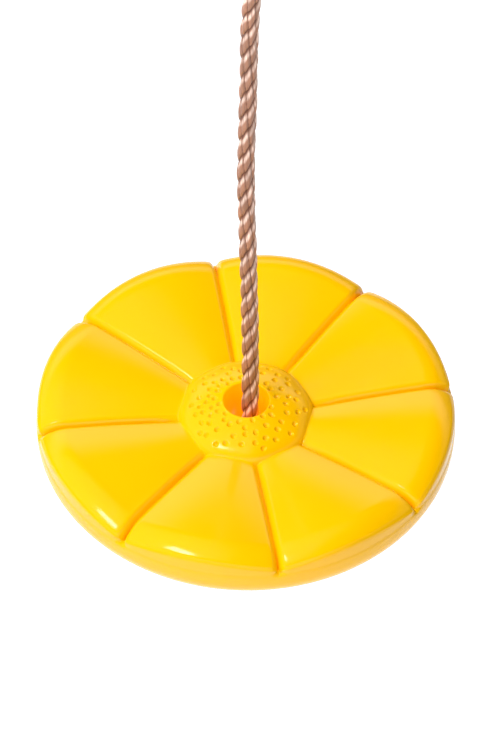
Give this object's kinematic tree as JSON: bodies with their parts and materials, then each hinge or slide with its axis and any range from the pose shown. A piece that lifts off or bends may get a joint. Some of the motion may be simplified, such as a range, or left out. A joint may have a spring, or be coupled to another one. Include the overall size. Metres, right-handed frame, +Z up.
{
  "type": "disc swing seat on a rope",
  "caption": "Round flower-shaped hollow plastic disc seat on a braided rope, held up by a stopper knot and washer and hung by a thimble eye and snap hook.",
  "frame": {"origin": "hang point: the inner face of the snap hook's top bow, on the rope's line", "axes": "+Z up along the hanging rope, +X across the flat of the hook towards its gate, +Y across the rope eye, away from the picture's camera"},
  "size_m": [0.2798, 0.2798, 0.7052],
  "materials": {
    "seat_plastic": "blow-moulded polyethylene, satin gloss",
    "rope": "braided multifilament polypropylene with a satin sheen",
    "zinc_steel": "bright zinc plate",
    "pin_steel": "turned steel",
    "spring_steel": "drawn wire",
    "thimble_steel": "galvanised",
    "washer_steel": "zinc plate",
    "ferrule_aluminium": "swaged, satin"
  },
  "bodies": {
    "hook": {"hook_body": "zinc_steel", "gate_pin": "pin_steel"},
    "gate": {"hook_gate": "zinc_steel", "latch_pin": "pin_steel", "gate_spring": "spring_steel", "gate_plunger": "pin_steel"},
    "eye": {"thimble": "thimble_steel", "ferrule": "ferrule_aluminium", "rope_eye": "rope"},
    "rope": {"rope_run": "rope", "stopper_knot": "rope", "rope_tail": "rope"},
    "washer": {"load_washer": "washer_steel"},
    "seat": {"seat_shell": "seat_plastic"}
  },
  "joints": [
    {"name": "gate_open", "type": "hinge", "parent": "hook", "child": "gate", "pos_m": [0.015, 0, -0.0485], "axis": [0, -1, 0], "range_deg": [0, 25], "stiffness_Nm_per_rad": 0.06, "springref_deg": -17.19},
    {"name": "eye_swing", "type": "hinge", "parent": "hook", "child": "eye", "pos_m": [0, 0, -0.068], "axis": [1, 0, 0], "range_deg": [-60, 60]},
    {"name": "rope_sway", "type": "hinge", "parent": "eye", "child": "rope", "pos_m": [0, -0.0063, -0.1463], "axis": [0, 1, 0], "range_deg": [-45, 45]},
    {"name": "seat_lift", "type": "slide", "parent": "rope", "child": "washer", "axis": [0, 0, 1], "range_m": [0, 0.33]},
    {"name": "seat_spin", "type": "hinge", "parent": "washer", "child": "seat", "pos_m": [0, 0, -0.58], "axis": [0, 0, 1], "continuous": true}
  ]
}
